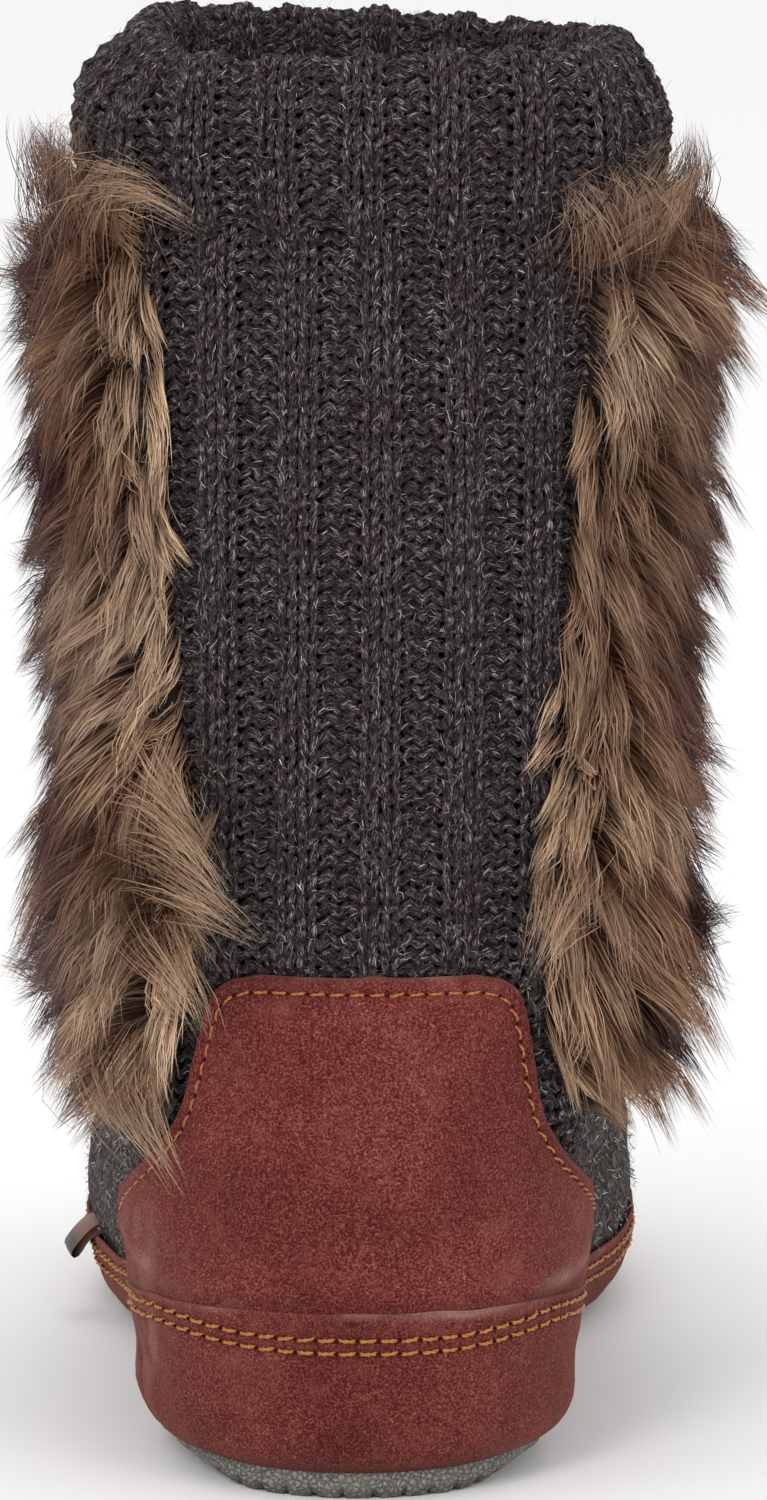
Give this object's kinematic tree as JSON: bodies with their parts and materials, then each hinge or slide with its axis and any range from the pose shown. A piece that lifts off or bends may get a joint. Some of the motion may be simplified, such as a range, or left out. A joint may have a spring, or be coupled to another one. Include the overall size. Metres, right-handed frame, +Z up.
{
  "type": "slipper boot",
  "caption": "Left indoor slipper boot: hollow felt foot and ribbed knit shaft with turned cuff, deep fur panel, suede heel counter and band, thin rubber sole.",
  "frame": {"origin": "on the floor, under the middle of the boot's box", "axes": "+Z up, +Y from heel to toe, +X to the inner (medial) side of a left foot"},
  "size_m": [0.1373, 0.2722, 0.2646],
  "materials": {
    "rubber": "matt pebbled grey rubber",
    "felt": "dark grey boiled-wool felt",
    "knit": "heathered charcoal ribbed wool knit",
    "fur": "long tan and dark brown faux fur",
    "suede": "rust-brown suede",
    "tab": "smooth dark grey"
  },
  "bodies": {
    "root": {"outsole": "rubber", "insole": "felt", "upper": "felt", "fur_panel": "fur", "cuff": "knit", "heel_counter": "suede", "foxing": "suede", "side_tab": "tab"}
  },
  "joints": []
}
